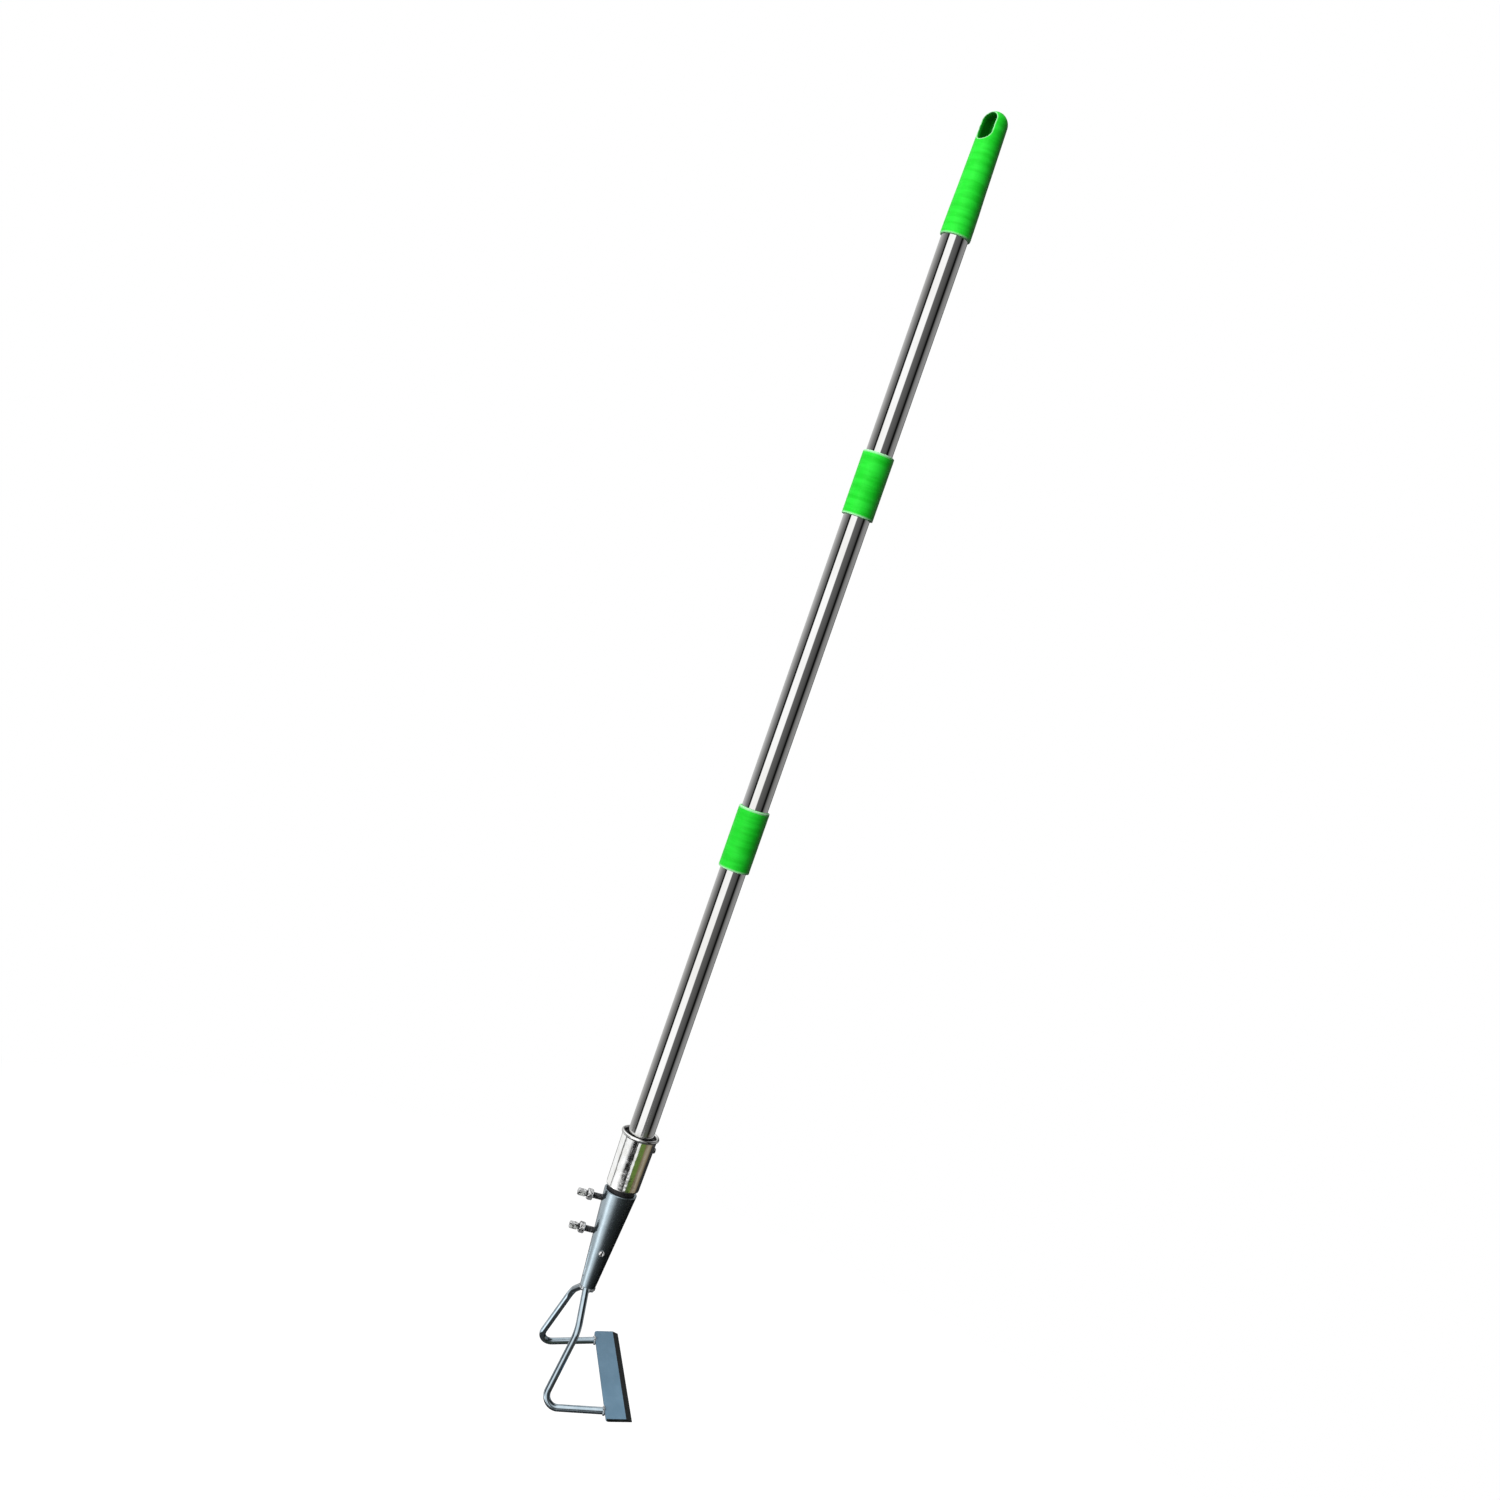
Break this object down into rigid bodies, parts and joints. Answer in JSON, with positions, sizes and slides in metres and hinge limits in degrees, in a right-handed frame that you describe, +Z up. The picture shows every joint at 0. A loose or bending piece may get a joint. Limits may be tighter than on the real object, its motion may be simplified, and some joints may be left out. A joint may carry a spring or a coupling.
{
  "type": "weeding hoe",
  "caption": "Long-handled weeding hoe: a flat blade in an open bent-rod frame, clamped on a take-apart steel pole with screw collars and a hanging grip.",
  "frame": {"origin": "centre of the hanging eye, on the pole's axis", "axes": "+Z up the pole to the grip's end, +X to the blade's cutting edge, the clamp bolts to -X"},
  "size_m": [0.1029, 0.155, 1.237],
  "materials": {
    "green_plastic": "bright green moulded plastic, slightly mottled",
    "steel_tube": "polished stainless tube",
    "black_plastic": "black moulded plastic",
    "bright_plate": "bright plated sheet, slightly wavy",
    "zinc_plate": "bright zinc plating",
    "grey_paint": "glossy blue-grey paint over steel, with welds under it"
  },
  "bodies": {
    "top_section": {"grip": "green_plastic", "top_tube": "steel_tube", "upper_core": "black_plastic"},
    "upper_collar": {"upper_collar": "green_plastic"},
    "middle_section": {"middle_tube": "steel_tube", "upper_thread_sleeve": "black_plastic", "lower_core": "black_plastic"},
    "lower_collar": {"lower_collar": "green_plastic"},
    "bottom_section": {"bottom_tube": "steel_tube", "lower_thread_sleeve": "black_plastic", "pole_plug": "black_plastic", "ferrule": "bright_plate", "ferrule_screw": "zinc_plate"},
    "head": {"socket": "grey_paint", "socket_screw": "zinc_plate", "left_arm": "grey_paint", "right_arm": "grey_paint", "arm_weld": "grey_paint", "blade": "grey_paint", "blade_welds": "grey_paint"},
    "upper_lock_nut": {"upper_lock_nut": "zinc_plate"},
    "upper_clamp_bolt": {"upper_clamp_bolt": "zinc_plate"},
    "lower_lock_nut": {"lower_lock_nut": "zinc_plate"},
    "lower_clamp_bolt": {"lower_clamp_bolt": "zinc_plate"}
  },
  "joints": [
    {"name": "upper_collar_turn", "type": "hinge", "parent": "top_section", "child": "upper_collar", "pos_m": [0, 0, -0.332], "axis": [0, 0, 1], "range_deg": [0, 2880]},
    {"name": "middle_section_draw", "type": "slide", "parent": "top_section", "child": "middle_section", "axis": [0, 0, -1], "range_m": [0, 0.024]},
    {"name": "lower_collar_turn", "type": "hinge", "parent": "middle_section", "child": "lower_collar", "pos_m": [0, 0, -0.674], "axis": [0, 0, 1], "range_deg": [0, 2880]},
    {"name": "bottom_section_draw", "type": "slide", "parent": "middle_section", "child": "bottom_section", "axis": [0, 0, -1], "range_m": [0, 0.024]},
    {"name": "head_pull_off", "type": "slide", "parent": "bottom_section", "child": "head", "axis": [0, 0, -1], "range_m": [0, 0.05]},
    {"name": "upper_lock_nut_shift", "type": "slide", "parent": "head", "child": "upper_lock_nut", "axis": [-1, 0, 0], "range_m": [0, 0.002]},
    {"name": "upper_clamp_bolt_turn", "type": "hinge", "parent": "upper_lock_nut", "child": "upper_clamp_bolt", "pos_m": [-0.03, 0, -1.0385], "axis": [-1, 0, 0], "range_deg": [0, 720]},
    {"name": "lower_lock_nut_shift", "type": "slide", "parent": "head", "child": "lower_lock_nut", "axis": [-1, 0, 0], "range_m": [0, 0.002]},
    {"name": "lower_clamp_bolt_turn", "type": "hinge", "parent": "lower_lock_nut", "child": "lower_clamp_bolt", "pos_m": [-0.03, 0, -1.0715], "axis": [-1, 0, 0], "range_deg": [0, 720]}
  ],
  "couplings": [
    {"joint": "upper_collar_turn", "follows": "middle_section_draw", "rad_per_m": 2094.4},
    {"joint": "lower_collar_turn", "follows": "bottom_section_draw", "rad_per_m": 2094.4},
    {"joint": "upper_clamp_bolt_turn", "follows": "upper_lock_nut_shift", "rad_per_m": 6283.2},
    {"joint": "lower_clamp_bolt_turn", "follows": "lower_lock_nut_shift", "rad_per_m": 6283.2}
  ]
}
